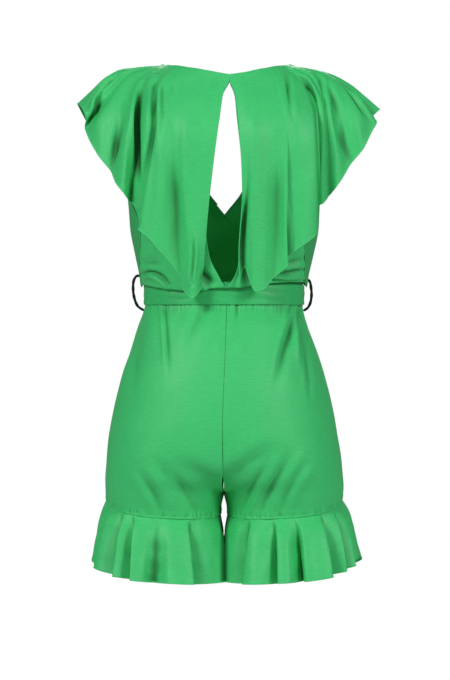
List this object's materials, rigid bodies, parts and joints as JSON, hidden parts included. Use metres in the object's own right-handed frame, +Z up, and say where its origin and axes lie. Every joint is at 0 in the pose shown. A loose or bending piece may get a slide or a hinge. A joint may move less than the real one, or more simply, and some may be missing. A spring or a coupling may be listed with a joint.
{
  "type": "romper",
  "caption": "Wrap romper in satin with a cape flounce, a keyhole back, a tie belt in thread loops, and shorts with gathered leg ruffles, in its hollow worn form.",
  "frame": {"origin": "between the shoulders, level with their tops, where the garment hangs on whoever wears it", "axes": "+Z up, -Y the front, +X the wearer's left"},
  "size_m": [0.5008, 0.3223, 0.8581],
  "materials": {
    "satin": "bright green satin with a soft sheen and a fine weave",
    "belt_satin": "the same satin, double, stitched along its edges",
    "loop_thread": "dark green thread worked over into a cord"
  },
  "bodies": {
    "root": {"back_left": "satin", "back_right": "satin", "front_left": "satin", "front_right": "satin", "flounce_left": "satin", "flounce_right": "satin", "shorts_back_left": "satin", "shorts_back_right": "satin", "shorts_front_left": "satin", "shorts_front_right": "satin", "ruffle_back_left": "satin", "ruffle_back_right": "satin", "ruffle_front_left": "satin", "ruffle_front_right": "satin", "belt_band": "belt_satin", "belt_knot": "belt_satin", "belt_tail_left": "belt_satin", "belt_tail_right": "belt_satin", "belt_loop_left": "loop_thread", "belt_loop_right": "loop_thread"}
  },
  "joints": []
}
